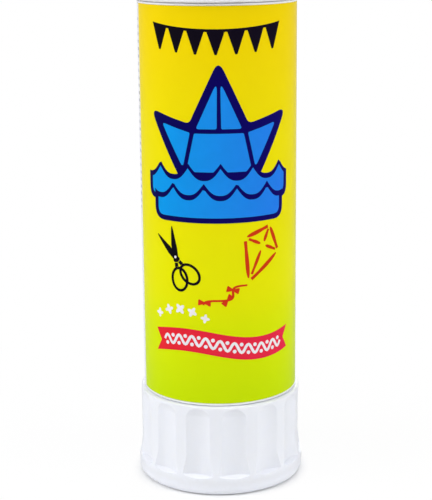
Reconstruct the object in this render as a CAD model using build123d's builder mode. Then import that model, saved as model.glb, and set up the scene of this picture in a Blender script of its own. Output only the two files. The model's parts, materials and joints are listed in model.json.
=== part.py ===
from build123d import *
import math
import os

# Twist-up glue stick, standing on its knob, with its axis along +Z.
# Sizes are in millimetres, and every height is measured up from the face it stands on.
# Turning the knob turns the spindle. The carrier is keyed to the barrel, so the thread
# lifts it and the adhesive with it. The cap pulls straight off over the neck.

os.makedirs("parts", exist_ok=True)

# Shared by all the cuts: how far a cutting shape runs past what it cuts
overrun = 1.0

# Barrel
barrel_radius = 12.4
barrel_wall = 1.4
barrel_edge_round = 0.12
panel_rim_height = 0.35
panel_rim_depth = 0.15
label_panel_length = 62.2
web_thickness = 1.5
spigot_inset = 1.5
spigot_wall = 1.2
spigot_floor_gap = 4.5
snap_bead_depth = 0.25
snap_bead_length = 1.0
neck_wall = 0.9
neck_length = 13.0
neck_edge_round = 0.3
neck_bead_depth = 0.12
neck_bead_length = 0.9
neck_bead_shares = (0.3, 0.68)
guide_rib_count = 4
guide_rib_width = 1.2
guide_rib_depth = 0.5
guide_rib_stop = 7.0

# Twist knob
knob_height = 14.9
knob_wall = 1.8
knob_floor = 1.8
knob_rim_round = 0.25
knob_rib_count = 6
knob_rib_thickness = 0.9
boss_wall = 1.6
socket_base = 2.6
flange_overhang = 0.5
flange_height = 2.8
flange_bottom_round = 1.2
flange_top_round = 6.0
flare_height = 3.2
flare_round = 10.0
foot_ring_width = 2.0
foot_recess_depth = 0.8
flute_count = 14
flute_width = 3.9
flute_depth = 0.55
flute_edge_round = 0.35
flute_top_band = 0.4
flute_top_scoop = 3.0
flute_ledge_height = 3.3
flute_ledge_slope = 20.0
flute_ledge_round = 0.25
flute_mouth_share = 0.97
flute_start_angle = -2.1

# Label
label_thickness = 0.1
label_edge_gap = 0.05
label_lap_angle = 14.0
label_lap_facing = 90.0

# Spindle
spindle_core_radius = 2.7
journal_step = 0.3
collar_width = 3.0
collar_thickness = 1.2
stem_across_flats = 4.8
tip_chamfer = 0.8
thread_pitch = 5.0
thread_depth = 1.05
thread_root_width = 2.1
thread_crest_width = 1.0
thread_root_sink = 0.4
thread_flat_depth = 0.65

# Carrier
carrier_height = 16.0
carrier_wall = 1.1
carrier_floor = 1.4
carrier_skirt = 8.0
carrier_lip_height = 0.9
carrier_edge_round = 0.3
carrier_stop_below_mouth = 2.9
nut_wall = 1.7
sleeve_above_floor = 3.0
fin_count = 4
fin_thickness = 0.8
fin_height = 4.0

# Adhesive
glue_above_mouth = 1.0
glue_crown = 0.6
glue_edge_round = 0.8
glue_shoulder_angle = 75.0

# Cap
cap_wall = 0.9
cap_draft = 0.25
cap_top_thickness = 1.2
cap_top_round = 1.6
cap_rim_round = 0.3
cap_lead_in = 0.5
cap_headroom = 7.0
grip_rib_count = 12
grip_rib_width = 0.8
grip_rib_start = 2.0
grip_rib_stop = 1.9
gate_dimple_radius = 1.5
gate_dimple_depth = 0.3

# Seal cup inside the cap
seal_disc_thickness = 0.9
seal_lip_wall = 0.7
seal_lip_round = 0.25
seal_lip_inset = 0.3
retainer_length = 0.7

# Clearances
knob_rim_gap = 0.1
spigot_gap = 0.4
snap_gap = 0.15
journal_gap = 0.08
web_gap = 0.12
stem_gap = 0.04
stem_end_gap = 0.3
rib_gap = 0.3
label_gap = 0.02
carrier_gap = 0.2
carrier_lip_gap = 0.1
carrier_rest_gap = 0.5
key_gap = 0.2
thread_gap = 0.15
thread_end_gap = 0.4
glue_gap = 0.3
glue_cast_gap = 0.03
tip_gap = 0.4
cap_rim_gap = 0.1
cap_bore_gap = 0.4
grip_gap = 0.07
seal_gap = 0.15
seal_side_gap = 0.1

# Radii that follow from the sizes above, from the barrel inwards and outwards
barrel_bore_radius = barrel_radius - barrel_wall
panel_rim_radius = barrel_radius + panel_rim_depth
label_inner_radius = barrel_radius + label_gap
label_radius = label_inner_radius + label_thickness
lap_radius = label_radius + label_thickness
guide_rib_tip_radius = barrel_bore_radius - guide_rib_depth
spigot_radius = barrel_radius - spigot_inset
spigot_bore_radius = spigot_radius - spigot_wall
knob_bore_radius = spigot_radius + spigot_gap
knob_bead_radius = spigot_radius + snap_gap
knob_radius = knob_bore_radius + knob_wall
flange_radius = knob_radius + flange_overhang
foot_recess_radius = flange_radius - flange_bottom_round - foot_ring_width
socket_half = stem_across_flats / 2 + stem_gap
boss_radius = socket_half / math.cos(math.pi / 6) + boss_wall
journal_radius = spindle_core_radius + journal_step
web_hole_radius = journal_radius + journal_gap
collar_radius = journal_radius + collar_width
thread_crest_radius = spindle_core_radius + thread_depth
thread_flat_offset = thread_crest_radius - thread_flat_depth
nut_bore_radius = spindle_core_radius + thread_gap
nut_groove_radius = thread_crest_radius + thread_gap
sleeve_radius = nut_groove_radius + nut_wall
carrier_radius = barrel_bore_radius - carrier_gap
carrier_lip_radius = barrel_bore_radius - carrier_lip_gap
cup_radius = carrier_radius - carrier_wall
glue_radius = barrel_bore_radius - glue_gap
glue_bore_radius = thread_crest_radius + glue_gap
neck_radius = barrel_bore_radius + neck_wall
neck_bead_radius = neck_radius + neck_bead_depth
cap_bore_radius = neck_radius + cap_bore_gap
cap_radius = cap_bore_radius + cap_wall
cap_top_radius = cap_radius - cap_draft
grip_rib_tip_radius = neck_bead_radius + grip_gap
seal_flange_radius = cap_bore_radius - seal_side_gap
seal_lip_radius = seal_flange_radius - seal_lip_inset
retainer_radius = seal_lip_radius + seal_side_gap

# Heights that follow from the sizes above, from the foot upwards
knob_floor_z = foot_recess_depth + knob_floor
flutes_top_z = knob_height - flute_top_band
flare_top_z = flange_height + flare_height
shoulder_z = knob_height + knob_rim_gap
boss_top_z = shoulder_z - web_gap
stem_z = knob_floor_z + socket_base + stem_end_gap
spigot_z = knob_floor_z + spigot_floor_gap
knob_rib_top_z = spigot_z - rib_gap
panel_z = shoulder_z + panel_rim_height
panel_top_z = panel_z + label_panel_length
label_z = panel_z + label_edge_gap
label_length = label_panel_length - 2 * label_edge_gap
neck_z = panel_top_z + panel_rim_height
mouth_z = neck_z + neck_length
web_top_z = shoulder_z + web_thickness
collar_z = web_top_z + web_gap
collar_top_z = collar_z + collar_thickness
carrier_z = web_top_z + carrier_rest_gap
carrier_rim_z = carrier_z + carrier_height
carrier_floor_z = carrier_z + carrier_skirt
cup_floor_z = carrier_floor_z + carrier_floor
sleeve_z = collar_top_z + carrier_rest_gap
sleeve_top_z = cup_floor_z + sleeve_above_floor
lift_travel = mouth_z - carrier_stop_below_mouth - carrier_rim_z
spindle_top_z = sleeve_top_z + lift_travel + tip_chamfer
thread_start_z = collar_top_z + thread_end_gap + thread_root_width / 2
thread_end_z = spindle_top_z - tip_chamfer - thread_root_width / 2
tap_start_z = thread_start_z - thread_pitch
tap_end_z = sleeve_top_z + thread_pitch
glue_edge_z = mouth_z + glue_above_mouth
glue_top_z = glue_edge_z + glue_crown
glue_bore_top_z = spindle_top_z + tip_gap
cap_z = neck_z + cap_rim_gap
seal_disc_z = mouth_z + cap_headroom
cap_ceiling_z = seal_disc_z + seal_disc_thickness
cap_top_z = cap_ceiling_z + cap_top_thickness
seal_lip_z = mouth_z + seal_gap
retainer_z = seal_disc_z - seal_side_gap - retainer_length

# The spigot's outward bead snaps past the knob's inward bead and is held below it
spigot_bead_z = spigot_z + snap_bead_length
knob_bead_z = spigot_bead_z + snap_bead_length + snap_gap


def thread_ridge(root_z, end_z, root_radius, crest_radius, root_width, crest_width, sink):
    """One left-hand trapezoid ridge round the Z axis, its root sunk below root_radius."""
    with BuildPart() as ridge:
        with BuildLine() as path:
            Helix(
                pitch=thread_pitch,
                height=end_z - root_z,
                radius=root_radius,
                center=(0, 0, root_z),
                lefthand=True,
            )
        start = Plane(origin=path.line @ 0, x_dir=(1, 0, 0), z_dir=path.line % 0)
        flank_slope = (root_width - crest_width) / (crest_radius - root_radius)
        sunk_width = root_width + flank_slope * sink
        with BuildSketch(start):
            with BuildLine():
                Polyline(
                    (-sink, -sunk_width / 2),
                    (crest_radius - root_radius, -crest_width / 2),
                    (crest_radius - root_radius, crest_width / 2),
                    (-sink, sunk_width / 2),
                    close=True,
                )
            make_face()
        sweep(is_frenet=True)
    return ridge.part


def bead_points(radius, low_z, length, depth):
    """A trapezoid bead on a wall of a section, listed upwards: depth is outward, minus inward."""
    slope = abs(depth)
    return [
        (radius, low_z),
        (radius + depth, low_z + slope),
        (radius + depth, low_z + length - slope),
        (radius, low_z + length),
    ]


def key_slots_plan():
    """The four slots that the barrel's guide ribs run in."""
    slot_root_radius = guide_rib_tip_radius - key_gap
    with BuildSketch() as plan:
        with PolarLocations((slot_root_radius + barrel_radius) / 2, guide_rib_count):
            Rectangle(barrel_radius - slot_root_radius, guide_rib_width + 2 * key_gap)
    return plan.sketch


def fins_plan(clearance):
    """The carrier's fins, set between the key slots, each thickened by a clearance."""
    fin_root = (nut_groove_radius + sleeve_radius) / 2
    fin_reach = (cup_radius + carrier_radius) / 2
    with BuildSketch() as plan:
        with PolarLocations((fin_root + fin_reach) / 2, fin_count, start_angle=180 / fin_count):
            Rectangle(fin_reach - fin_root, fin_thickness + 2 * clearance)
    return plan.sketch


# Flutes: each is cut by a plug that is round about the flute's own axis. Its mouth reaches nearly
# across the flute's rounded edges, its top leaves a scoop and its foot a sloping ledge.
flute_half = flute_width / 2
flute_land_depth = knob_radius - math.sqrt(knob_radius**2 - flute_half**2)
flute_sagitta = flute_depth - flute_land_depth
flute_radius = (flute_half**2 + flute_sagitta**2) / (2 * flute_sagitta)
flute_axis_x = knob_radius - flute_depth + flute_radius
edge_centre_radius = knob_radius - flute_edge_round
edge_reach = flute_radius + flute_edge_round
edge_cosine = (edge_centre_radius**2 + flute_axis_x**2 - edge_reach**2) / (
    2 * edge_centre_radius * flute_axis_x
)
mouth_angle = flute_mouth_share * math.acos(edge_cosine)
mouth_radius = math.hypot(
    flute_axis_x - knob_radius * math.cos(mouth_angle), knob_radius * math.sin(mouth_angle)
)
mouth_x = flute_axis_x - mouth_radius
scoop_rise = math.sqrt(flute_depth * (2 * flute_top_scoop - flute_depth))
plug_top_z = flutes_top_z - scoop_rise + flute_top_scoop
plug_foot_z = flute_ledge_height - mouth_radius * math.tan(math.radians(flute_ledge_slope))

with BuildPart() as flute_plug:
    with BuildSketch(Plane.XZ):
        with BuildLine():
            FilletPolyline(
                (flute_axis_x, plug_foot_z),
                (mouth_x, flute_ledge_height),
                (mouth_x, plug_top_z),
                (flute_axis_x, plug_top_z),
                radius=[0, flute_ledge_round, flute_top_scoop, 0],
                close=True,
            )
        make_face()
    revolve(axis=Axis((flute_axis_x, 0, 0), (0, 0, 1)))
    with BuildSketch() as land_section:
        Circle(knob_radius)
        with Locations((flute_axis_x, 0)):
            Circle(flute_radius, mode=Mode.SUBTRACT)
        fillet(land_section.vertices(), flute_edge_round)
    extrude(amount=plug_top_z + overrun, mode=Mode.SUBTRACT)

# Twist knob: a fluted cup that flares into its flange, with a socket for the spindle in its boss
with BuildPart() as knob:
    with BuildSketch(Plane.XZ):
        with BuildLine():
            FilletPolyline(
                (0, foot_recess_depth + gate_dimple_depth),
                (gate_dimple_radius - gate_dimple_depth, foot_recess_depth + gate_dimple_depth),
                (gate_dimple_radius, foot_recess_depth),
                (foot_recess_radius - foot_recess_depth, foot_recess_depth),
                (foot_recess_radius, 0),
                (flange_radius, 0),
                (flange_radius, flange_height),
                (knob_radius, flare_top_z),
                (knob_radius, knob_height),
                (0, knob_height),
                radius=[
                    *(0, 0, 0, 0, 0),
                    flange_bottom_round,
                    flange_top_round,
                    flare_round,
                    knob_rim_round,
                    0,
                ],
                close=True,
            )
        make_face()
    revolve(axis=Axis.Z)
    with PolarLocations(0, flute_count, start_angle=flute_start_angle):
        add(flute_plug.part, mode=Mode.SUBTRACT)
    with BuildSketch(Plane.XZ):
        with BuildLine():
            Polyline(
                (0, boss_top_z),
                (boss_radius, boss_top_z),
                (boss_radius, knob_floor_z),
                (knob_bore_radius, knob_floor_z),
                *bead_points(
                    knob_bore_radius,
                    knob_bead_z,
                    snap_bead_length,
                    knob_bead_radius - knob_bore_radius,
                ),
                (knob_bore_radius, knob_height + overrun),
                (0, knob_height + overrun),
                close=True,
            )
        make_face()
    revolve(axis=Axis.Z, mode=Mode.SUBTRACT)
    with BuildSketch(Plane.XY.offset(stem_z - stem_end_gap)):
        RegularPolygon(socket_half, 6, major_radius=False)
    extrude(amount=boss_top_z - stem_z + stem_end_gap + overrun, mode=Mode.SUBTRACT)
    rib_root = boss_radius - boss_wall / 2
    rib_reach = knob_bore_radius + (knob_wall - flute_depth) / 2
    with BuildSketch(Plane.XY.offset(knob_floor_z - knob_floor / 2)):
        with PolarLocations((rib_root + rib_reach) / 2, knob_rib_count):
            Rectangle(rib_reach - rib_root, knob_rib_thickness)
    extrude(amount=knob_rib_top_z - knob_floor_z + knob_floor / 2)
knob.part.label = "knob"

# Barrel: a straight tube with a spigot in the knob, a web that carries the spindle, and a neck
with BuildPart() as barrel:
    with BuildSketch(Plane.XZ):
        with BuildLine():
            Polyline(
                (web_hole_radius, shoulder_z),
                (spigot_bore_radius, shoulder_z),
                (spigot_bore_radius, spigot_z),
                (spigot_radius, spigot_z),
                *bead_points(spigot_radius, spigot_bead_z, snap_bead_length, snap_bead_depth),
                (spigot_radius, shoulder_z),
                (panel_rim_radius - barrel_edge_round, shoulder_z),
                (panel_rim_radius, shoulder_z + barrel_edge_round),
                (panel_rim_radius, panel_z),
                (barrel_radius, panel_z),
                (barrel_radius, panel_top_z),
                (panel_rim_radius, panel_top_z),
                (panel_rim_radius, neck_z - barrel_edge_round),
                (panel_rim_radius - barrel_edge_round, neck_z),
                (neck_radius, neck_z),
                *(
                    point
                    for share in neck_bead_shares
                    for point in bead_points(
                        neck_radius,
                        neck_z + share * neck_length,
                        neck_bead_length,
                        neck_bead_depth,
                    )
                ),
                (neck_radius, mouth_z - neck_edge_round),
                (neck_radius - neck_edge_round, mouth_z),
                (barrel_bore_radius + neck_edge_round, mouth_z),
                (barrel_bore_radius, mouth_z - neck_edge_round),
                (barrel_bore_radius, web_top_z),
                (web_hole_radius, web_top_z),
                close=True,
            )
        make_face()
    revolve(axis=Axis.Z)
    rib_base_z = web_top_z - web_thickness / 2
    with BuildSketch(Plane.XY.offset(rib_base_z)):
        with PolarLocations((guide_rib_tip_radius + barrel_radius) / 2, guide_rib_count):
            Rectangle(barrel_radius - guide_rib_tip_radius, guide_rib_width)
        Circle(barrel_bore_radius + neck_wall / 2, mode=Mode.INTERSECT)
    extrude(amount=mouth_z - guide_rib_stop - rib_base_z)
barrel.part.label = "barrel"

# Label: a printed film wrapped round the panel, its outer end lapped over the inner at the back
lap_start = label_lap_facing - label_lap_angle / 2
lap_end = label_lap_facing + label_lap_angle / 2
lap_rise_end = lap_end + label_lap_angle / 2
with BuildPart() as label:
    with BuildSketch(Plane.XY.offset(label_z)):
        Circle(label_radius)
        Circle(label_inner_radius, mode=Mode.SUBTRACT)
        with BuildLine():
            lap_outside = CenterArc((0, 0), lap_radius, lap_start, label_lap_angle)
            lap_inside = CenterArc(
                (0, 0), label_radius - label_thickness / 2, lap_start, lap_rise_end - lap_start
            )
            Line(lap_outside @ 0, lap_inside @ 0)
            Line(lap_outside @ 1, lap_inside @ 1)
        make_face()
    extrude(amount=label_length)
label.part.label = "label"

# Spindle: a hexagonal stem, a journal and collar that turn in the web, and a coarse screw
spindle_ridge = thread_ridge(
    thread_start_z,
    thread_end_z,
    spindle_core_radius,
    thread_crest_radius,
    thread_root_width,
    thread_crest_width,
    thread_root_sink,
)
with BuildPart() as spindle:
    add(spindle_ridge)
    with BuildSketch(Plane.XY.offset(collar_top_z)):
        Rectangle(2 * (thread_crest_radius + overrun), 2 * thread_flat_offset)
    extrude(amount=spindle_top_z - collar_top_z, mode=Mode.INTERSECT)
    with BuildSketch(Plane.XZ):
        with BuildLine():
            Polyline(
                (0, boss_top_z),
                (journal_radius, boss_top_z),
                (journal_radius, collar_z),
                (collar_radius, collar_z),
                (collar_radius, collar_top_z),
                (spindle_core_radius, collar_top_z),
                (spindle_core_radius, spindle_top_z - tip_chamfer),
                (spindle_core_radius - tip_chamfer, spindle_top_z),
                (0, spindle_top_z),
                close=True,
            )
        make_face()
    revolve(axis=Axis.Z)
    with BuildSketch(Plane.XY.offset(stem_z)):
        RegularPolygon(stem_across_flats / 2, 6, major_radius=False)
    extrude(amount=boss_top_z - stem_z)
spindle.part.label = "spindle"

# Nut tap: cuts the carrier's thread. It starts a whole turn low, which keeps the two in phase,
# and its core runs a turn past its ridge at both ends.
tap_ridge = thread_ridge(
    tap_start_z,
    tap_end_z,
    nut_bore_radius,
    nut_groove_radius,
    thread_root_width + thread_gap,
    thread_crest_width + 2 * thread_gap,
    thread_root_sink,
)
with BuildPart() as nut_tap:
    add(tap_ridge)
    with BuildSketch(Plane.XY.offset(tap_start_z - thread_pitch)):
        Circle(nut_bore_radius)
    extrude(amount=tap_end_z - tap_start_z + 2 * thread_pitch)

# Carrier: a cup under the adhesive, keyed to the barrel's ribs, with the nut in its sleeve
with BuildPart() as carrier:
    with BuildSketch(Plane.XZ):
        with BuildLine():
            Polyline(
                (0, sleeve_z),
                (sleeve_radius, sleeve_z),
                (sleeve_radius, carrier_floor_z),
                (cup_radius, carrier_floor_z),
                (cup_radius, carrier_z),
                (carrier_radius - carrier_edge_round, carrier_z),
                (carrier_radius, carrier_z + carrier_edge_round),
                (carrier_radius, carrier_rim_z - carrier_lip_height),
                (carrier_lip_radius, carrier_rim_z - carrier_edge_round),
                (carrier_lip_radius, carrier_rim_z),
                (cup_radius + carrier_edge_round, carrier_rim_z),
                (cup_radius, carrier_rim_z - carrier_edge_round),
                (cup_radius, cup_floor_z),
                (sleeve_radius, cup_floor_z),
                (sleeve_radius, sleeve_top_z),
                (0, sleeve_top_z),
                close=True,
            )
        make_face()
    revolve(axis=Axis.Z)
    add(nut_tap.part, mode=Mode.SUBTRACT)
    with BuildSketch(Plane.XY.offset(carrier_z - overrun)):
        add(key_slots_plan())
    extrude(amount=carrier_height + 2 * overrun, mode=Mode.SUBTRACT)
    with BuildSketch(Plane.XY.offset(cup_floor_z - carrier_floor / 2)):
        add(fins_plan(0))
    extrude(amount=fin_height + carrier_floor / 2)
carrier.part.label = "carrier"

# Adhesive: cast into the cup round its fins and sleeve, with a bore that clears the spindle
cast_radius = cup_radius - glue_cast_gap
cast_sleeve_radius = sleeve_radius + glue_cast_gap
cast_floor_z = cup_floor_z + glue_cast_gap
cast_rim_z = carrier_rim_z + glue_cast_gap
cast_sleeve_top_z = sleeve_top_z + glue_cast_gap
with BuildPart() as glue:
    with BuildSketch(Plane.XZ):
        with BuildLine():
            Polyline(
                (0, glue_top_z),
                (0, glue_bore_top_z),
                (glue_bore_radius, glue_bore_top_z),
                (glue_bore_radius, cast_sleeve_top_z),
                (cast_sleeve_radius, cast_sleeve_top_z),
                (cast_sleeve_radius, cast_floor_z),
                (cast_radius, cast_floor_z),
                (cast_radius, cast_rim_z),
                (glue_radius, cast_rim_z),
                (glue_radius, glue_edge_z - glue_edge_round),
            )
            shoulder = JernArc(
                start=(glue_radius, glue_edge_z - glue_edge_round),
                tangent=(0, 1),
                radius=glue_edge_round,
                arc_size=glue_shoulder_angle,
            )
            TangentArc((0, glue_top_z), shoulder @ 1, tangent=(1, 0))
        make_face()
    revolve(axis=Axis.Z)
    with BuildSketch(Plane.XY.offset(carrier_rim_z)):
        add(key_slots_plan())
    extrude(amount=glue_top_z - carrier_rim_z + overrun, mode=Mode.SUBTRACT)
    with BuildSketch(Plane.XY.offset(cup_floor_z)):
        add(fins_plan(glue_cast_gap))
    extrude(amount=fin_height + glue_cast_gap, mode=Mode.SUBTRACT)
glue.part.label = "glue"

# Cap: a plain shell with a little draft, with grip ribs and a retaining bead inside
with BuildPart() as cap:
    with BuildSketch(Plane.XZ):
        with BuildLine():
            FilletPolyline(
                (0, cap_z),
                (cap_radius, cap_z),
                (cap_top_radius, cap_top_z),
                (gate_dimple_radius, cap_top_z),
                (gate_dimple_radius - gate_dimple_depth, cap_top_z - gate_dimple_depth),
                (0, cap_top_z - gate_dimple_depth),
                radius=[0, cap_rim_round, cap_top_round, 0, 0, 0],
                close=True,
            )
        make_face()
    revolve(axis=Axis.Z)
    with BuildSketch(Plane.XZ):
        with BuildLine():
            Polyline(
                (0, cap_z - overrun),
                (cap_bore_radius + cap_lead_in, cap_z - overrun),
                (cap_bore_radius + cap_lead_in, cap_z),
                (cap_bore_radius, cap_z + cap_lead_in),
                *bead_points(
                    cap_bore_radius,
                    retainer_z,
                    retainer_length,
                    retainer_radius - cap_bore_radius,
                ),
                (cap_bore_radius, cap_ceiling_z),
                (0, cap_ceiling_z),
                close=True,
            )
        make_face()
    revolve(axis=Axis.Z, mode=Mode.SUBTRACT)
    with BuildSketch(Plane.XY.offset(cap_z + grip_rib_start)):
        with PolarLocations((grip_rib_tip_radius + cap_radius) / 2, grip_rib_count):
            Rectangle(cap_radius - grip_rib_tip_radius, grip_rib_width)
        Circle(cap_bore_radius + (cap_wall - cap_draft) / 2, mode=Mode.INTERSECT)
    extrude(amount=mouth_z - grip_rib_stop - cap_z - grip_rib_start)
cap.part.label = "cap"

# Seal cup: a soft disc under the cap's ceiling whose lip closes on the mouth of the barrel
with BuildPart() as cap_seal:
    with BuildSketch(Plane.XZ):
        with BuildLine():
            FilletPolyline(
                (0, seal_disc_z),
                (seal_lip_radius - seal_lip_wall, seal_disc_z),
                (seal_lip_radius - seal_lip_wall, seal_lip_z),
                (seal_lip_radius, seal_lip_z),
                (seal_lip_radius, seal_disc_z),
                (seal_flange_radius, seal_disc_z),
                (seal_flange_radius, cap_ceiling_z),
                (0, cap_ceiling_z),
                radius=[0, 0, seal_lip_round, seal_lip_round, 0, 0, 0, 0],
                close=True,
            )
        make_face()
    revolve(axis=Axis.Z)
cap_seal.part.label = "cap_seal"

pieces = (knob, barrel, label, spindle, carrier, glue, cap, cap_seal)
for piece in pieces:
    export_step(piece.part, f"parts/{piece.part.label}.step")
    print(piece.part.label, "volume", round(piece.part.volume, 1), "solids", len(piece.solids()))
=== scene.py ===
# %% [markdown]
# A twist-up glue stick, dressed in Blender.
# The shapes of the plastic parts come from a CAD model, and this lesson gives them their finish.
# It also prints the label, sets the light and places the camera. Each step says what the real
# thing is, how it could be made, and why this way was chosen.

# %% Load the frame
import json
import math

import bmesh
import bpy
from mathutils import Matrix, Vector

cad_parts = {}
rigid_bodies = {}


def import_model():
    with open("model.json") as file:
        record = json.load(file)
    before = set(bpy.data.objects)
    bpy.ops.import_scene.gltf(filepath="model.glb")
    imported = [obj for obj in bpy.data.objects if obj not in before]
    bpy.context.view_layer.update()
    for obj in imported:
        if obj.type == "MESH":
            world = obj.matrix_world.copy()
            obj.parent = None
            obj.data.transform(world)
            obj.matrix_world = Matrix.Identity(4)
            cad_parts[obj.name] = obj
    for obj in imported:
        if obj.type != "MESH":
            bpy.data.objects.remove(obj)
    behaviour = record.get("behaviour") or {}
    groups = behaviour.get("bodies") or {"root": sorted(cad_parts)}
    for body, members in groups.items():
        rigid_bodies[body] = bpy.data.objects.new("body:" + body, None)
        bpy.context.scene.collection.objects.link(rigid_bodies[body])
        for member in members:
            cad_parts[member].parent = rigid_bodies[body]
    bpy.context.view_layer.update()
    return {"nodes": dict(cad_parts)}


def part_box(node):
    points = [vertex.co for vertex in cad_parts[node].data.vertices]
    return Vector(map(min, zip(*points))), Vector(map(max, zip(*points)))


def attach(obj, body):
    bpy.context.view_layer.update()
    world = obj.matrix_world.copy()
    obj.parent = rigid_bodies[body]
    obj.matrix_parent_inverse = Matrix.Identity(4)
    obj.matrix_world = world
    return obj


for leftover in list(bpy.data.objects):
    bpy.data.objects.remove(leftover)
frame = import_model()
nodes = frame["nodes"]
scene = bpy.context.scene
print("nodes:", ", ".join(sorted(nodes)))

# %% [markdown]
# Blender works in metres here, and a glue stick is easier to think about in millimetres.
# So every size below is written in millimetres and multiplied by MM where Blender needs it.
# The label's radius and edges are read from the frame, so that the prints always fit it.

# %% Measure the label, knob and cap
MM = 0.001

label_low, label_high = (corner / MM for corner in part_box("label"))
knob_low, knob_high = (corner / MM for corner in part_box("knob"))
cap_low, cap_high = (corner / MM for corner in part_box("cap"))
label_radius = label_high.x
flange_radius = knob_high.x
cap_radius = cap_high.x
print(f"label: radius {label_radius:.2f} mm, from {label_low.z:.2f} to {label_high.z:.2f} mm")
print(f"knob: {knob_high.z - knob_low.z:.2f} mm tall, flange radius {flange_radius:.2f}")

# %% [markdown]
# Materials are trees of shader nodes, and building them by hand takes many lines.
# One small helper adds a node: it sets the node's own properties, then links or fills its inputs.
# The others are for the nodes that come up most: sums, ranges, noise, and the two kinds of Mix
# node, whose sockets can only be told apart by number.

# %% Node helpers
FIRST_VALUE, SECOND_VALUE, MIXED_VALUE = 2, 3, 0
FIRST_COLOUR, SECOND_COLOUR, MIXED_COLOUR = 6, 7, 2


def add(tree, kind, inputs=None, **properties):
    made = tree.nodes.new("ShaderNode" + kind)
    for name, value in properties.items():
        setattr(made, name, value)
    for name, value in (inputs or {}).items():
        if isinstance(value, bpy.types.NodeSocket):
            tree.links.new(value, made.inputs[name])
        else:
            made.inputs[name].default_value = value
    return made


def maths(tree, operation, *values, clamp=False):
    inputs = dict(enumerate(values))
    return add(tree, "Math", inputs, operation=operation, use_clamp=clamp).outputs[0]


def remap(tree, value, low, high, to_low=0.0, to_high=1.0, **properties):
    inputs = {"Value": value, "From Min": low, "From Max": high}
    inputs.update({"To Min": to_low, "To Max": to_high})
    return add(tree, "MapRange", inputs, **properties).outputs[0]


def noise(tree, at, per_mm, detail, **more):
    inputs = {"Vector": at, "Scale": per_mm, "Detail": detail}
    inputs.update(more)
    return add(tree, "TexNoise", inputs).outputs["Fac"]


def multiplied(tree, vector, factors):
    return add(tree, "VectorMath", {0: vector, 1: factors}, operation="MULTIPLY").outputs[0]


def mix_values(tree, share, first, second):
    inputs = {0: share, FIRST_VALUE: first, SECOND_VALUE: second}
    return add(tree, "Mix", inputs, data_type="FLOAT").outputs[MIXED_VALUE]


def mix_colours(tree, share, first, second):
    inputs = {0: share, FIRST_COLOUR: first, SECOND_COLOUR: second}
    return add(tree, "Mix", inputs, data_type="RGBA").outputs[MIXED_COLOUR]


def opaque(red, green, blue):
    return (red, green, blue, 1.0)


# %% [markdown]
# An effect that several materials share is a node group: a box of nodes with named inputs and
# outputs, built once and placed wherever it is wanted with its own values.
# In Blender 4.5 a group's sockets are made on its interface, so this helper does that part.

# %% Group helper
def new_group(name, inputs, outputs):
    group = bpy.data.node_groups.new(name, "ShaderNodeTree")
    for socket_name, value in inputs.items():
        kind = "NodeSocketVector" if isinstance(value, tuple) else "NodeSocketFloat"
        socket = group.interface.new_socket(name=socket_name, in_out="INPUT", socket_type=kind)
        socket.default_value = value
    for socket_name, kind in outputs.items():
        group.interface.new_socket(
            name=socket_name, in_out="OUTPUT", socket_type="NodeSocket" + kind
        )
    entry = group.nodes.new("NodeGroupInput").outputs
    way_out = group.nodes.new("NodeGroupOutput")
    return group, entry, way_out.inputs


def place_group(tree, group, inputs):
    return add(tree, "Group", inputs, node_tree=group).outputs


# %% [markdown]
# Wear, print and texture all follow the round stick, so they need to know where they are on it.
# The object coordinates of every piece are the stick's own, in metres. This group turns them into
# millimetres, the radius from the axis, the angle round it, and an unrolled position:
# the distance round, the height and the radius. The angle is zero at the front, towards -Y.

# %% Group: place on the stick
def build_place_group():
    outputs = {"Position": "Vector", "Unrolled": "Vector", "Angle": "Float"}
    outputs.update({"Height": "Float", "Radius": "Float"})
    group, entry, way_out = new_group("place_on_stick", {"Object": (0.0, 0.0, 0.0)}, outputs)
    position = multiplied(group, entry["Object"], (1 / MM,) * 3)
    split = add(group, "SeparateXYZ", {0: position}).outputs
    front = maths(group, "MULTIPLY", split["Y"], -1.0)
    radians = maths(group, "ARCTAN2", split["X"], front)
    across = maths(group, "POWER", split["X"], 2.0)
    deep = maths(group, "POWER", front, 2.0)
    radius = maths(group, "SQRT", maths(group, "ADD", across, deep))
    arc = maths(group, "MULTIPLY", radians, label_radius)
    unrolled = add(group, "CombineXYZ", {0: arc, 1: split["Z"], 2: radius})
    group.links.new(position, way_out["Position"])
    group.links.new(unrolled.outputs[0], way_out["Unrolled"])
    group.links.new(maths(group, "DEGREES", radians), way_out["Angle"])
    group.links.new(split["Z"], way_out["Height"])
    group.links.new(radius, way_out["Radius"])
    return group


place_on_stick = build_place_group()
print("group:", place_on_stick.name, "gives", len(place_on_stick.interface.items_tree) - 1, "values")

# %% [markdown]
# Moulded plastic is never perfectly even. Its skin has a fine grain from the steel of the mould,
# and its walls sink a little in broad soft waves as they cool.
# Noise at two sizes gives both. The group hands out a height for the Bump node, and a mottle
# that the materials use to vary their colour and gloss.

# %% Group: moulded skin
MOTTLE_PER_MM = 0.6


def build_skin_group():
    inputs = {"Position": (0.0, 0.0, 0.0), "Grain per mm": 6.0, "Wave per mm": 0.2}
    inputs.update({"Wave share": 0.5})
    outputs = {"Height": "Float", "Mottle": "Float"}
    group, entry, way_out = new_group("moulded_skin", inputs, outputs)
    grain = noise(group, entry["Position"], entry["Grain per mm"], detail=3.0)
    wave = noise(group, entry["Position"], entry["Wave per mm"], detail=1.0)
    height = mix_values(group, entry["Wave share"], grain, wave)
    mottle = noise(group, entry["Position"], MOTTLE_PER_MM, detail=4.0)
    group.links.new(height, way_out["Height"])
    group.links.new(mottle, way_out["Mottle"])
    return group


moulded_skin = build_skin_group()
print("group:", moulded_skin.name)

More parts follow.
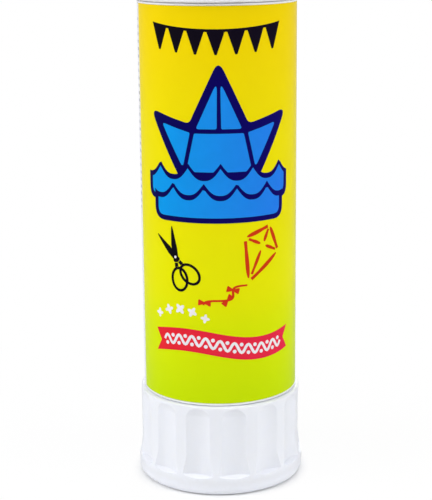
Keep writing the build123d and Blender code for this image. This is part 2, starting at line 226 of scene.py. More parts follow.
# %% [markdown]
# Handling leaves hairline scratches, most of them running round the stick or along it.
# A noise that is stretched twenty or thirty times one way looks like a bundle of fine lines, and
# only its narrow middle band is kept, so that the lines are sparse. A slow noise breaks them up.

# %% Group: hairline scratches
STRETCH_ROUND, STRETCH_ALONG = (0.033, 1.0, 0.0), (1.0, 0.045, 0.0)
SCRATCH_BEND = 0.4
SCRATCH_THINNESS = 90.0
PATCH_PER_MM = 0.25
PATCH_START, PATCH_FULL = 0.52, 0.68


def build_scratch_group():
    inputs = {"Unrolled": (0.0, 0.0, 0.0), "Lines per mm": 3.0, "Amount": 0.5}
    group, entry, way_out = new_group("hairline_scratches", inputs, {"Mask": "Float"})
    masks = []
    for stretch in (STRETCH_ROUND, STRETCH_ALONG):
        at = multiplied(group, entry["Unrolled"], stretch)
        lines = noise(group, at, entry["Lines per mm"], detail=2.0, Distortion=SCRATCH_BEND)
        off_middle = maths(group, "ABSOLUTE", maths(group, "SUBTRACT", lines, 0.5))
        faded = maths(group, "MULTIPLY", off_middle, SCRATCH_THINNESS)
        masks.append(maths(group, "SUBTRACT", 1.0, faded, clamp=True))
    patches = noise(group, entry["Unrolled"], PATCH_PER_MM, detail=3.0)
    broken = remap(group, patches, PATCH_START, PATCH_FULL)
    kept = maths(group, "MULTIPLY", maths(group, "MAXIMUM", *masks), broken)
    group.links.new(maths(group, "MULTIPLY", kept, entry["Amount"]), way_out["Mask"])
    return group


hairline_scratches = build_scratch_group()
print("group:", hairline_scratches.name)

# %% [markdown]
# Edges that stand out are rubbed by the desk and the hand: here the knob's foot and flange, the
# cap's rim and top edge, and the mouth of the barrel. On a turned part such an edge lies near one
# radius and one height, so a mask of the distance from that ring finds it, and noise frays it.

# %% Group: rubbed edge
FRAY_PER_MM = 1.4
FRAY_ROUGHNESS = 0.65
FRAY_REACH = 1.3
RUB_NONE, RUB_FULL = 1.25, 0.75


def build_rub_group():
    inputs = {"Position": (0.0, 0.0, 0.0), "Height": 0.0, "Radius": 0.0}
    inputs.update({"Edge height": 0.0, "Edge radius": 10.0, "Reach": 1.0})
    group, entry, way_out = new_group("rubbed_edge", inputs, {"Mask": "Float"})
    up = maths(group, "POWER", maths(group, "SUBTRACT", entry["Height"], entry["Edge height"]), 2.0)
    out = maths(group, "POWER", maths(group, "SUBTRACT", entry["Radius"], entry["Edge radius"]), 2.0)
    distance = maths(group, "SQRT", maths(group, "ADD", up, out))
    away = maths(group, "DIVIDE", distance, entry["Reach"])
    fray = noise(group, entry["Position"], FRAY_PER_MM, detail=5.0, Roughness=FRAY_ROUGHNESS)
    frayed = maths(group, "ADD", away, maths(group, "MULTIPLY", fray, FRAY_REACH))
    group.links.new(remap(group, frayed, RUB_NONE, RUB_FULL), way_out["Mask"])
    return group


rubbed_edge = build_rub_group()
print("group:", rubbed_edge.name)

# %% [markdown]
# Every finish on the stick starts from the place on it and ends in a Principled shader, so one
# helper opens a material and one closes it, and between them come the groups that most of them
# use. What is the same all over a surface is set on the shader's own sockets, as its settings.

# %% Open and close a material
def new_material(name):
    material = bpy.data.materials.new(name)
    material.use_nodes = True
    tree = material.node_tree
    tree.nodes.clear()
    position = add(tree, "TexCoord").outputs["Object"]
    place = place_group(tree, place_on_stick, {"Object": position})
    return material, tree, place


def place_skin(tree, place, **settings):
    inputs = {"Position": place["Position"]}
    for name, value in settings.items():
        inputs[name.capitalize().replace("_", " ")] = value
    return place_group(tree, moulded_skin, inputs)


def place_scratches(tree, place, amount):
    inputs = {"Unrolled": place["Unrolled"], "Amount": amount}
    return place_group(tree, hairline_scratches, inputs)["Mask"]


def bumped(tree, height, depth):
    return add(tree, "Bump", {"Height": height, "Distance": depth * MM}).outputs[0]


def close_material(tree, colour, rough, normal, settings):
    inputs = {"Base Color": colour, "Roughness": rough, "Normal": normal}
    inputs.update(settings)
    shader = add(tree, "BsdfPrincipled", inputs)
    add(tree, "OutputMaterial", {"Surface": shader.outputs["BSDF"]})


def dress(node_name, material):
    mesh = nodes[node_name].data
    for slot_number in range(len(mesh.materials)):
        mesh.materials[slot_number] = material
    print(f"{node_name}: {material.name}, {len(mesh.polygons)} faces")


# %% [markdown]
# The knob, the barrel and the cap are white polypropylene with a soft shine. A little light goes
# into it and comes out again nearby, which is subsurface scattering, and it keeps the shading soft.
# All three share one recipe, with their own tint, gloss and rubbed edges. The gloss and tint vary
# with the mottle, and the rubbed edges and scratches are slightly duller and greyer.

# %% Recipe: white polypropylene
WORN_TINT = opaque(0.70, 0.70, 0.70)
WORN_TINT_SHARE = 0.35
WORN_ROUGHNESS = 0.2
RUB_SHARE = 0.5
PLASTIC_SCRATCHES = 0.35
GLOSSIER, DULLER = 0.04, 0.06
SCATTER_COLOURS = (1.0, 0.95, 0.85)
SCATTER_DEPTH = 0.6


def worn_places(tree, place, edges):
    worn = place_scratches(tree, place, PLASTIC_SCRATCHES)
    for edge_height, edge_radius, reach in edges:
        inputs = {name: place[name] for name in ("Position", "Height", "Radius")}
        inputs.update({"Edge height": edge_height, "Edge radius": edge_radius, "Reach": reach})
        rub = place_group(tree, rubbed_edge, inputs)["Mask"]
        worn = maths(tree, "MAXIMUM", worn, maths(tree, "MULTIPLY", rub, RUB_SHARE))
    return worn


def white_plastic(name, tint, shade, roughness, edges=(), bump=0.012, scatter=0.12):
    material, tree, place = new_material(name)
    skin = place_skin(tree, place, grain_per_mm=7.0, wave_share=0.75)
    worn = worn_places(tree, place, edges)
    mottled = mix_colours(tree, skin["Mottle"], tint, shade)
    colour = mix_colours(tree, maths(tree, "MULTIPLY", worn, WORN_TINT_SHARE), mottled, WORN_TINT)
    gloss = remap(tree, skin["Mottle"], 0.0, 1.0, roughness - GLOSSIER, roughness + DULLER)
    rough = maths(tree, "ADD", gloss, maths(tree, "MULTIPLY", worn, WORN_ROUGHNESS))
    settings = {
        "Subsurface Weight": scatter,
        "Subsurface Radius": SCATTER_COLOURS,
        "Subsurface Scale": SCATTER_DEPTH * MM,
    }
    close_material(tree, colour, rough, bumped(tree, skin["Height"], bump), settings)
    return material


# %% [markdown]
# The knob's flange rubs on the desk at its foot and on fingers at its widest ring.
# The cap is pushed on and pulled off, so its rim and the round edge of its top are rubbed too.
# The barrel shows only its thin rims and its neck, where the cap slides over the two beads.
# Each edge is written as its height, its radius and how far the rubbing reaches.

# %% Knob, barrel and cap
MOUTH_ABOVE_CAP_RIM = 12.9

FOOT_EDGE = (0.3, flange_radius - 0.8, 1.2)
FLANGE_EDGE = (2.2, flange_radius, 1.3)
KNOB_TOP_EDGE = (knob_high.z, flange_radius - 0.5, 0.7)
CAP_RIM = (cap_low.z, cap_radius, 0.9)
CAP_TOP_EDGE = (cap_high.z - 0.6, cap_radius - 0.8, 1.4)
MOUTH_EDGE = (cap_low.z + MOUTH_ABOVE_CAP_RIM, cap_radius - 1.5, 1.0)

knob_white = white_plastic(
    "knob_white",
    tint=opaque(0.850, 0.865, 0.925),
    shade=opaque(0.832, 0.847, 0.905),
    roughness=0.36,
    edges=[FOOT_EDGE, FLANGE_EDGE, KNOB_TOP_EDGE],
    scatter=0.25,
)
# The barrel's tint is lighter than the knob's and the cap's. This is painted light: it brightens the
# barrel's thin rims, which sit in shade under the cap and above the knob.
barrel_white_painted_light = white_plastic(
    "barrel_white_painted_light",
    tint=opaque(0.905, 0.908, 0.925),
    shade=opaque(0.890, 0.893, 0.910),
    roughness=0.28,
    edges=[MOUTH_EDGE],
    scatter=0.04,
)
cap_white = white_plastic(
    "cap_white",
    tint=opaque(0.828, 0.827, 0.880),
    shade=opaque(0.812, 0.811, 0.865),
    roughness=0.34,
    edges=[CAP_RIM, CAP_TOP_EDGE],
)
dress("knob", knob_white)
dress("barrel", barrel_white_painted_light)
dress("cap", cap_white)

# %% [markdown]
# The spindle, the carrier and the seal cup are plain polyethylene, which is waxier than
# polypropylene: rougher, a shade darker, and with more light scattered under its skin.
# The same recipe does for them, with a stronger grain and more scattering.

# %% Spindle, carrier and seal
spindle_natural = white_plastic(
    "spindle_natural",
    tint=opaque(0.80, 0.80, 0.79),
    shade=opaque(0.76, 0.76, 0.75),
    roughness=0.48,
    bump=0.02,
    scatter=0.3,
)
carrier_natural = white_plastic(
    "carrier_natural",
    tint=opaque(0.79, 0.80, 0.80),
    shade=opaque(0.75, 0.76, 0.77),
    roughness=0.45,
    bump=0.02,
    scatter=0.3,
)
seal_soft = white_plastic(
    "seal_soft",
    tint=opaque(0.74, 0.76, 0.78),
    shade=opaque(0.70, 0.72, 0.75),
    roughness=0.52,
    bump=0.016,
    scatter=0.4,
)
dress("spindle", spindle_natural)
dress("carrier", carrier_natural)
dress("cap_seal", seal_soft)

# %% [markdown]
# The adhesive is a soap-like solid: off-white, see-through for a millimetre or two, and moist.
# Strong subsurface scattering gives the depth, and a coat gives the moist shine. The end has the
# ripples that casting leaves, and dries duller in patches, so a slow noise drives the coat.

# %% Adhesive
ADHESIVE_LIGHT = opaque(0.875, 0.865, 0.80)
ADHESIVE_DARK = opaque(0.83, 0.815, 0.74)
ADHESIVE_MOIST, ADHESIVE_DULL = 0.3, 0.55
CAST_RIPPLE = 0.05
DRY_START, DRY_FULL = 0.35, 0.65
MOIST_COAT, DRY_LOSS = 0.7, 0.5


def waxy_adhesive():
    material, tree, place = new_material("waxy_adhesive")
    skin = place_skin(tree, place, grain_per_mm=3.0, wave_per_mm=0.35, wave_share=0.8)
    colour = mix_colours(tree, skin["Mottle"], ADHESIVE_LIGHT, ADHESIVE_DARK)
    dry = remap(tree, skin["Mottle"], DRY_START, DRY_FULL)
    rough = remap(tree, skin["Mottle"], 0.0, 1.0, ADHESIVE_MOIST, ADHESIVE_DULL)
    settings = {
        "Coat Weight": maths(tree, "SUBTRACT", MOIST_COAT, maths(tree, "MULTIPLY", dry, DRY_LOSS)),
        "Coat Roughness": 0.25,
        "Subsurface Weight": 0.8,
        "Subsurface Radius": (1.0, 0.85, 0.55),
        "Subsurface Scale": 1.6 * MM,
    }
    close_material(tree, colour, rough, bumped(tree, skin["Height"], CAST_RIPPLE), settings)
    return material


dress("glue", waxy_adhesive())

# %% [markdown]
# The label is a printed film that fades from warm yellow at the top to lime at the bottom.
# A colour ramp over the height makes the fade. On the left side the film has a white panel, which
# is a range of angles, with rows of short grey dashes on it. The rows are the fraction of the
# height over their pitch, and a noise that is read once per row cuts the dashes.

# %% Group: label artwork
PANEL_START, PANEL_END = -153.0, -75.5
PANEL_WHITE = opaque(0.86, 0.865, 0.88)
DASH_START, DASH_END = -146.0, -76.5
DASH_TOP, DASH_BOTTOM = 75.4, 45.0
DASH_GREY, DASH_STRENGTH = opaque(0.22, 0.24, 0.33), 0.7
DASHES_PER_DEGREE, DASH_GAPS = 0.35, 0.44
ROW_PITCH, ROW_SHARE = 1.15, 0.42
FADE = (
    (0.00, opaque(0.550, 0.730, 0.001)),
    (0.14, opaque(0.625, 0.760, 0.001)),
    (0.32, opaque(0.765, 0.760, 0.001)),
    (0.58, opaque(0.815, 0.715, 0.001)),
    (1.00, opaque(0.860, 0.635, 0.001)),
)


def inside(tree, value, low, high, soft):
    rise = remap(tree, value, low - soft, low + soft)
    fall = remap(tree, value, high + soft, high - soft)
    return maths(tree, "MULTIPLY", rise, fall)


def fade_by_height(tree, height):
    fade = add(tree, "ValToRGB", {"Fac": remap(tree, height, label_low.z, label_high.z)})
    fade.color_ramp.interpolation = "EASE"
    stops = fade.color_ramp.elements
    while len(stops) < len(FADE):
        stops.new(0.5)
    for stop, (share, colour) in zip(stops, FADE):
        stop.position = share
        stop.color = colour
    return fade.outputs["Color"]


def dashes_in_rows(tree, angle, height):
    rows = maths(tree, "DIVIDE", height, ROW_PITCH)
    in_row = maths(tree, "LESS_THAN", maths(tree, "FRACT", rows), ROW_SHARE)
    along_row = maths(tree, "MULTIPLY", angle, DASHES_PER_DEGREE)
    at = add(tree, "CombineXYZ", {0: along_row, 1: maths(tree, "FLOOR", rows)})
    uneven = noise(tree, at.outputs[0], per_mm=1.0, detail=0.0)
    cut = maths(tree, "GREATER_THAN", uneven, DASH_GAPS)
    dashes = maths(tree, "MULTIPLY", in_row, cut)
    across = inside(tree, angle, DASH_START, DASH_END, soft=0.1)
    along = inside(tree, height, DASH_BOTTOM, DASH_TOP, soft=0.01)
    return maths(tree, "MULTIPLY", maths(tree, "MULTIPLY", dashes, across), along)


def build_label_group():
    inputs = {"Height": 0.0, "Angle": 0.0}
    group, entry, way_out = new_group("label_artwork", inputs, {"Color": "Color"})
    panel = inside(group, entry["Angle"], PANEL_START, PANEL_END, soft=0.25)
    film = mix_colours(group, panel, fade_by_height(group, entry["Height"]), PANEL_WHITE)
    dashes = dashes_in_rows(group, entry["Angle"], entry["Height"])
    printed = mix_colours(group, maths(group, "MULTIPLY", dashes, DASH_STRENGTH), film, DASH_GREY)
    group.links.new(printed, way_out["Color"])
    return group


label_artwork = build_label_group()
print("group:", label_artwork.name, "with", len(FADE), "colours in the fade")

# %% [markdown]
# The film itself is glossy and lies almost flat. Broad, very shallow waves show where it was
# rolled on, and the hairline scratches take a little of its shine.

# %% Label film
FILM_SPECULAR = 0.04
FILM_SCRATCHES = 0.5
FILM_GLOSSY, FILM_DULL = 0.15, 0.22
FILM_WAVE = 0.012


def label_film():
    material, tree, place = new_material("label_film")
    where = {"Height": place["Height"], "Angle": place["Angle"]}
    art = place_group(tree, label_artwork, where)
    skin = place_skin(tree, place, grain_per_mm=10.0, wave_per_mm=0.25, wave_share=0.9)
    scratches = place_scratches(tree, place, FILM_SCRATCHES)
    gloss = remap(tree, skin["Mottle"], 0.0, 1.0, FILM_GLOSSY, FILM_DULL)
    rough = maths(tree, "ADD", gloss, maths(tree, "MULTIPLY", scratches, WORN_ROUGHNESS))
    normal = bumped(tree, skin["Height"], FILM_WAVE)
    close_material(tree, art["Color"], rough, normal, {"Specular IOR Level": FILM_SPECULAR})
    return material


dress("label", label_film())

# %% [markdown]
# Each ink is a layer a hundredth of a millimetre thick, printed over the film and over the inks
# before it. So every printed shape is a thin closed shell of its own, one level above the last.
# The inks share a recipe: two shades of one colour that blend from left to right, a fine print
# grain, and the gloss of the film.

# %% Recipe: printing ink
INK_BLEND_ANGLE = 60.0
INK_DEEPER = 0.9
INK_ROUGHNESS = 0.18
INK_GRAIN = 0.01


def ink(name, left, right):
    material, tree, place = new_material(name)
    across = remap(tree, place["Angle"], -INK_BLEND_ANGLE, INK_BLEND_ANGLE)
    blend = mix_colours(tree, across, left, right)
    skin = place_skin(tree, place, grain_per_mm=9.0, wave_share=0.6)
    deeper = add(tree, "HueSaturation", {"Color": blend, "Value": INK_DEEPER})
    colour = mix_colours(tree, skin["Mottle"], blend, deeper.outputs["Color"])
    scratches = place_scratches(tree, place, FILM_SCRATCHES)
    rough = maths(tree, "ADD", INK_ROUGHNESS, maths(tree, "MULTIPLY", scratches, WORN_ROUGHNESS))
    normal = bumped(tree, skin["Height"], INK_GRAIN)
    close_material(tree, colour, rough, normal, {"Specular IOR Level": FILM_SPECULAR})
    return material


ink_black = ink("ink_black", opaque(0.004, 0.003, 0.006), opaque(0.006, 0.003, 0.012))
ink_navy = ink("ink_navy", opaque(0.002, 0.001, 0.075), opaque(0.004, 0.001, 0.13))
ink_blue = ink("ink_blue", opaque(0.000, 0.330, 0.800), opaque(0.020, 0.190, 0.820))
ink_ember = ink("ink_ember", opaque(0.760, 0.030, 0.015), opaque(0.560, 0.040, 0.004))
ink_red = ink("ink_red", opaque(0.780, 0.020, 0.028), opaque(0.800, 0.025, 0.070))
ink_white = ink("ink_white", opaque(0.840, 0.810, 0.860), opaque(0.860, 0.840, 0.870))
print("inks:", ", ".join(m.name for m in bpy.data.materials if m.name.startswith("ink_")))

# %% [markdown]
# A print is drawn flat first, as closed outlines of points: the distance round from the front, and
# the height. Blender's 2D curves fill such outlines, and leave a hole where one lies in another.
# The filled sheet is cut into narrow upright strips, so that it can be rolled round the label:
# only the corners of a face can bend.

# %% Helper: fill a flat drawing and cut it into strips
STRIP = 0.6
CUT_TOLERANCE = 1e-5


def filled_sheet(name, outlines):
    curve = bpy.data.curves.new(name + "_outline", "CURVE")
    curve.dimensions = "2D"
    curve.fill_mode = "BOTH"
    for outline in outlines:
        spline = curve.splines.new("POLY")
        spline.points.add(len(outline) - 1)
        for point, (arc, height) in zip(spline.points, outline):
            point.co = (arc, height, 0.0, 1.0)
        spline.use_cyclic_u = True
    drawing = bpy.data.objects.new(name + "_drawing", curve)
    scene.collection.objects.link(drawing)
    sheet = bpy.data.meshes.new_from_object(drawing)
    bpy.data.objects.remove(drawing)
    bpy.data.curves.remove(curve)
    return sheet


def cut_into_strips(mesh):
    arcs = [corner.co.x for corner in mesh.verts]
    first, last = math.floor(min(arcs) / STRIP), math.ceil(max(arcs) / STRIP)
    for number in range(first, last + 1):
        everything = mesh.verts[:] + mesh.edges[:] + mesh.faces[:]
        place = (number * STRIP, 0, 0)
        bmesh.ops.bisect_plane(
            mesh, geom=everything, dist=CUT_TOLERANCE, plane_co=place, plane_no=(1, 0, 0)
        )


# %% [markdown]
# Then the sheet is thickened and rolled: its lower side goes a little under the film's surface,
# and its upper side stands just over it, by its level. The new piece rides on the barrel, because
# the label is stuck to it, and is part of the label's film.

# %% Helper: print a drawing on the label
SAME_PLACE = 1e-4
INK_SINK = 0.03
FIRST_LEVEL = 0.015
LEVEL_STEP = 0.01
SHARP_ANGLE = math.radians(30)


def roll(corner, radius):
    angle = corner.co.x / label_radius
    height = corner.co.y
    corner.co = Vector((math.sin(angle) * radius, -math.cos(angle) * radius, height)) * MM


def shade_like_print(mesh):
    bmesh.ops.recalc_face_normals(mesh, faces=mesh.faces[:])
    for face in mesh.faces:
        face.smooth = True
    for edge in mesh.edges:
        edge.smooth = edge.is_manifold and edge.calc_face_angle() < SHARP_ANGLE


def new_piece(name, mesh, material):
    data = bpy.data.meshes.new(name)
    mesh.to_mesh(data)
    mesh.free()
    piece = bpy.data.objects.new(name, data)
    scene.collection.objects.link(piece)
    data.materials.append(material)
    return piece


def printed(name, outlines, material, level=1):
    sheet = filled_sheet(name, outlines)
    mesh = bmesh.new()
    mesh.from_mesh(sheet)
    bpy.data.meshes.remove(sheet)
    bmesh.ops.remove_doubles(mesh, verts=mesh.verts, dist=SAME_PLACE)
    cut_into_strips(mesh)
    lower = mesh.verts[:]
    raised = bmesh.ops.extrude_face_region(mesh, geom=mesh.faces[:])["geom"]
    upper = [part for part in raised if isinstance(part, bmesh.types.BMVert)]
    for corner in lower:
        roll(corner, label_radius - INK_SINK)
    for corner in upper:
        roll(corner, label_radius + FIRST_LEVEL + LEVEL_STEP * level)
    shade_like_print(mesh)
    open_edges = sum(not edge.is_manifold for edge in mesh.edges)
    piece = new_piece(name, mesh, material)
    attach(piece, "barrel")
    print(f"{name}: level {level}, {len(piece.data.polygons)} faces, {open_edges} open edges")


# %% [markdown]
# A few drawing tools make every outline below. These two change a polygon that is given by its
# corners: one rounds the corners, and one moves the sides outwards or inwards by an even distance.

# %% Helper: round and outset a polygon
ARC_STEPS = 6
LONGEST_ROUNDING = 0.45
SHARPEST_OUTSET = 0.3


def round_corner(previous, corner, following, radius):
    before = previous - corner
    after = following - corner
    half = before.angle(after) / 2
    longest = LONGEST_ROUNDING
    reach = min(radius / math.tan(half), before.length * longest, after.length * longest)
    start = corner + before.normalized() * reach
    stop = corner + after.normalized() * reach
    smooth = []
    for step in range(ARC_STEPS + 1):
        share = step / ARC_STEPS
        smooth.append(start.lerp(corner, share).lerp(corner.lerp(stop, share), share))
    return smooth


def rounded(outline, radius):
    points = [Vector(point) for point in outline]
    smooth = []
    for number, corner in enumerate(points):
        following = points[(number + 1) % len(points)]
        smooth += round_corner(points[number - 1], corner, following, radius)
    return smooth


def outset(outline, distance):
    points = [Vector(point) for point in outline]
    moved = []
    for number, corner in enumerate(points):
        along_in = (corner - points[number - 1]).normalized()
        along_out = (points[(number + 1) % len(points)] - corner).normalized()
        out_in = Vector((along_in.y, -along_in.x))
        out_out = Vector((along_out.y, -along_out.x))
        middle = (out_in + out_out).normalized()
        moved.append(corner + middle * distance / max(middle.dot(out_in), SHARPEST_OUTSET))
    return moved


# %% [markdown]
# These draw a brush stroke along a line of points, a straight line and an oval. The last one turns
# an outline, scales it and moves it to its place on the label.

# %% Helper: strokes, ovals and placing
STROKE_SWELL_EARLY, STROKE_SWELL_LATE = 1.25, 0.15


def stroke(points, width, tip_share=0.35):
    line = [Vector(point) for point in points]
    last = len(line) - 1
    left, right = [], []
    for number, point in enumerate(line):
        along = (line[min(number + 1, last)] - line[max(number - 1, 0)]).normalized()
        side = Vector((-along.y, along.x))
        share = number / last
        fullness = min(share * STROKE_SWELL_EARLY, 1 - share * STROKE_SWELL_LATE)
        swell = tip_share + (1 - tip_share) * math.sin(math.pi * fullness) ** 0.5
        left.append(point + side * width / 2 * swell)
        right.append(point - side * width / 2 * swell)
    return right + left[::-1]


def straight(start, stop, steps=8):
    return [Vector(start).lerp(Vector(stop), step / steps) for step in range(steps + 1)]


def ring(centre, width, height, steps=32):
    turn = 2 * math.pi / steps
    return [
        Vector((
            centre[0] + width / 2 * math.cos(step * turn),
            centre[1] + height / 2 * math.sin(step * turn),
        ))
        for step in range(steps)
    ]


def turned(point, angle):
    return Vector((
        point[0] * math.cos(angle) - point[1] * math.sin(angle),
        point[0] * math.sin(angle) + point[1] * math.cos(angle),
    ))


def placed(outline, at, angle=0.0, scale=1.0):
    return [turned(point, math.radians(angle)) * scale + Vector(at) for point in outline]


# %% [markdown]
# Along the top hangs a string of black paper pennants. It is one outline: the string's upper edge
# from left to right, then back along its lower edge, with a blunt point for each pennant.

# %% Bunting
BUNTING_TOP = 75.0
BUNTING_HALF = 10.9
BUNTING_SAG = 0.9
BUNTING_STEPS = 40
STRING_WIDTH = 0.42
PENNANT_COUNT = 7
PENNANT_WIDTH = 2.7
PENNANT_DROP = 3.5
PENNANT_SHAPE = ((0.5, 0.0), (0.06, 0.97), (-0.06, 0.97), (-0.5, 0.0))


def string_height(arc):
    return BUNTING_TOP - BUNTING_SAG * (1 - (arc / BUNTING_HALF) ** 2)


def bunting():
    steps = BUNTING_STEPS
    arcs = [BUNTING_HALF * (2 * step / steps - 1) for step in range(steps + 1)]
    outline = [Vector((arc, string_height(arc))) for arc in arcs]
    pitch = 2 * BUNTING_HALF / PENNANT_COUNT
    for number in reversed(range(PENNANT_COUNT)):
        centre = -BUNTING_HALF + pitch * (number + 0.5)
        for arc, drop in PENNANT_SHAPE:
            at = centre + arc * PENNANT_WIDTH
            outline.append(Vector((at, string_height(at) - STRING_WIDTH - drop * PENNANT_DROP)))
    return outline


printed("print_bunting", [bunting()], ink_black)

# %% [markdown]
# The main picture is a folded paper boat on two rows of waves, in bright blue with a broad navy
# outline. The boat's five folded faces are named by their corners. Each face is drawn a little
# inside its corners, and the navy silhouette a little outside, so the folds show as navy lines.

# %% Boat
BOW, STERN = (-10.2, 60.4), (10.2, 60.4)
SAIL_LEFT, SAIL_RIGHT, SAIL_MIDDLE = (-4.1, 58.8), (4.1, 58.8), (0.0, 58.8)
SAIL_TOP = (0.0, 67.4)
KEEL_LEFT, KEEL_RIGHT = (-5.6, 52.2), (5.6, 52.2)
FOLD_GAP = 0.34
NAVY_EDGE = 0.95
EDGE_CORNER, FACE_CORNER = 0.9, 0.3
BOAT_AT = (0.4, 0.0)

boat_outline = [BOW, KEEL_LEFT, KEEL_RIGHT, STERN, SAIL_RIGHT, SAIL_TOP, SAIL_LEFT]
boat_faces = [
    [BOW, KEEL_LEFT, SAIL_LEFT],
    [STERN, SAIL_RIGHT, KEEL_RIGHT],
    [SAIL_LEFT, KEEL_LEFT, KEEL_RIGHT, SAIL_RIGHT],
    [SAIL_TOP, SAIL_LEFT, SAIL_MIDDLE],
    [SAIL_TOP, SAIL_MIDDLE, SAIL_RIGHT],
]
boat_edge = placed(rounded(outset(boat_outline, NAVY_EDGE), EDGE_CORNER), BOAT_AT)
boat_blues = [placed(rounded(outset(face, -FOLD_GAP), FACE_CORNER), BOAT_AT) for face in boat_faces]
printed("print_boat_edge", [boat_edge], ink_navy)
printed("print_boat", boat_blues, ink_blue, level=2)

# %% [markdown]
# A wave is peaked at its crest and round in its trough, which is one minus the size of a sine.
# Each row is one outline with that line along its top. The navy outline of a row is the same shape
# drawn larger, and the front row is printed last, so that it covers the foot of the row behind.

# %% Waves
WAVE_LENGTH = 5.1
WAVE_RISE = 1.9
WAVE_PEAK = 1.3
WAVE_CORNER = 2.2
WAVE_STEPS = 60
WAVE_EDGE = NAVY_EDGE * 0.85


def wave_row(left, right, bottom, trough, shift, grow):
    top = []
    for step in range(WAVE_STEPS + 1):
        arc = left - grow + (right - left + 2 * grow) * step / WAVE_STEPS
        swell = 1 - abs(math.sin(math.pi * (arc - shift) / WAVE_LENGTH))
        top.append(Vector((arc, trough + grow + WAVE_RISE * swell ** WAVE_PEAK)))
    low_left = Vector((left - grow, bottom - grow))
    low_right = Vector((right + grow, bottom - grow))
    foot = round_corner(top[0], low_left, low_right, WAVE_CORNER + grow)
    foot += round_corner(low_left, low_right, top[-1], WAVE_CORNER + grow)
    return foot + top[::-1]


for row_name, left, right, bottom, trough, shift, level in (
    ("far_waves", -11.6, 12.0, 48.6, 51.2, 0.6, 3),
    ("near_waves", -10.2, 10.8, 45.4, 48.1, 3.1, 5),
):
    edge_shape = wave_row(left, right, bottom, trough, shift, WAVE_EDGE)
    blue_shape = wave_row(left, right, bottom, trough, shift, 0.0)
    printed(f"print_{row_name}_edge", [edge_shape], ink_navy, level)
    printed(f"print_{row_name}", [blue_shape], ink_blue, level + 1)

# %% [markdown]
# Below on the right flies a kite, drawn in red-brown brush strokes. A stroke swells along its
# length and thins to its end. The strokes keep a small gap at the corners, as quick brush work
# does, and the tail is a wavy line. Its three bows cross it, so they are printed one level higher.

# %% Kite
KITE_AT = (7.0, 39.7)
KITE_TURN = -24.0
KITE_STROKE = 0.66
KITE_TOP, KITE_FOOT = (0.0, 4.4), (0.0, -5.0)
KITE_LEFT, KITE_RIGHT = (-3.4, 1.2), (3.4, 1.2)
KITE_MIDDLE = (0.0, 1.2)
SIDE_GAPS, SPAR_GAPS = (0.08, 0.08), (0.16, 0.2)
SPAR_WIDTH, TAIL_WIDTH = KITE_STROKE * 0.8, KITE_STROKE * 0.55
TAIL_START, TAIL_REACH, TAIL_DROP = -5.6, -4.6, -5.6
TAIL_SWING, TAIL_SWINGS = -0.9, 1.4
TAIL_STEPS = 36
TAIL_BOW_SHAPE = ((-1.0, 0.54), (-1.0, -0.54), (0.0, -0.14), (1.0, -0.54), (1.0, 0.54), (0.0, 0.14))
TAIL_BOW_CORNER = 0.14
TAIL_BOWS = ((0.27, 10.0), (0.6, 75.0), (0.93, 20.0))


def between(start, stop, skip_start, skip_stop):
    first, second = Vector(start), Vector(stop)
    return straight(first.lerp(second, skip_start), second.lerp(first, skip_stop))


def kite_strokes():
    corners = (KITE_TOP, KITE_RIGHT, KITE_FOOT, KITE_LEFT)
    sides = zip(corners, corners[1:] + corners[:1])
    strokes = [stroke(between(*side, *SIDE_GAPS), KITE_STROKE) for side in sides]
    strokes += [stroke(between(KITE_MIDDLE, end, *SPAR_GAPS), SPAR_WIDTH) for end in corners]
    return strokes


def tail_point(share):
    swing = TAIL_SWING * math.sin(2 * math.pi * TAIL_SWINGS * share)
    return Vector((TAIL_REACH * share + swing, TAIL_START + TAIL_DROP * share))


def kite_tail():
    line = [tail_point(step / TAIL_STEPS) for step in range(TAIL_STEPS + 1)]
    return stroke(line, TAIL_WIDTH, tip_share=0.7)


def kite_bows():
    bow = rounded(TAIL_BOW_SHAPE, TAIL_BOW_CORNER)
    return [placed(bow, tail_point(share), lean) for share, lean in TAIL_BOWS]


def fly(parts):
    return [placed(part, KITE_AT, KITE_TURN) for part in parts]


printed("print_kite", fly(kite_strokes() + [kite_tail()]), ink_ember)
printed("print_kite_bows", fly(kite_bows()), ink_ember, level=2)

# %% [markdown]
# On the left lies a pair of open scissors: two loops of thin black line to hold, and two solid
# blades. The second half is the mirror of the first, printed one level higher where they cross.

# %% Scissors
SCISSORS_AT = (-6.9, 38.9)
SCISSORS_TURN = 28.0
SCISSORS_OPEN = 21.0
SCISSORS_SCALE = 1.18
SCISSOR_LINE = 0.36
BLADE = ((-0.42, -0.7), (0.34, -0.7), (0.46, 1.6), (0.05, 4.9), (-0.42, 1.2))
BLADE_CORNER = 0.3
LOOP_AT, LOOP_WIDTH, LOOP_HEIGHT = (-0.25, -3.0), 2.6, 3.4
SHANK_START, SHANK_STOP, SHANK_WIDTH = (-0.02, -1.36), (-0.02, -0.78), 0.5
PIN_WIDTH = 0.42


def scissor_half(side):
    parts = [
        rounded(BLADE, BLADE_CORNER),
        ring(LOOP_AT, LOOP_WIDTH, LOOP_HEIGHT),
        ring(LOOP_AT, LOOP_WIDTH - 2 * SCISSOR_LINE, LOOP_HEIGHT - 2 * SCISSOR_LINE),
        stroke(straight(SHANK_START, SHANK_STOP), SHANK_WIDTH, tip_share=0.9),
    ]
    made = []
    for part in parts:
        leaning = placed(part, (0, 0), SCISSORS_OPEN)
        flipped = [Vector((side * point.x, point.y)) for point in leaning]
        made.append(placed(flipped, SCISSORS_AT, SCISSORS_TURN, SCISSORS_SCALE))
    return made


pin = placed(ring((0, 0), PIN_WIDTH, PIN_WIDTH, steps=16), SCISSORS_AT)
printed("print_scissors_left", scissor_half(1), ink_black)
printed("print_scissors_right", scissor_half(-1), ink_black, level=2)
printed("print_scissors_pin", [pin], ink_white, level=3)

# %% [markdown]
# Five small white blossoms lie in an arc above the ribbon. Each has four petals, which is a circle
# whose radius swells four times on its way round.

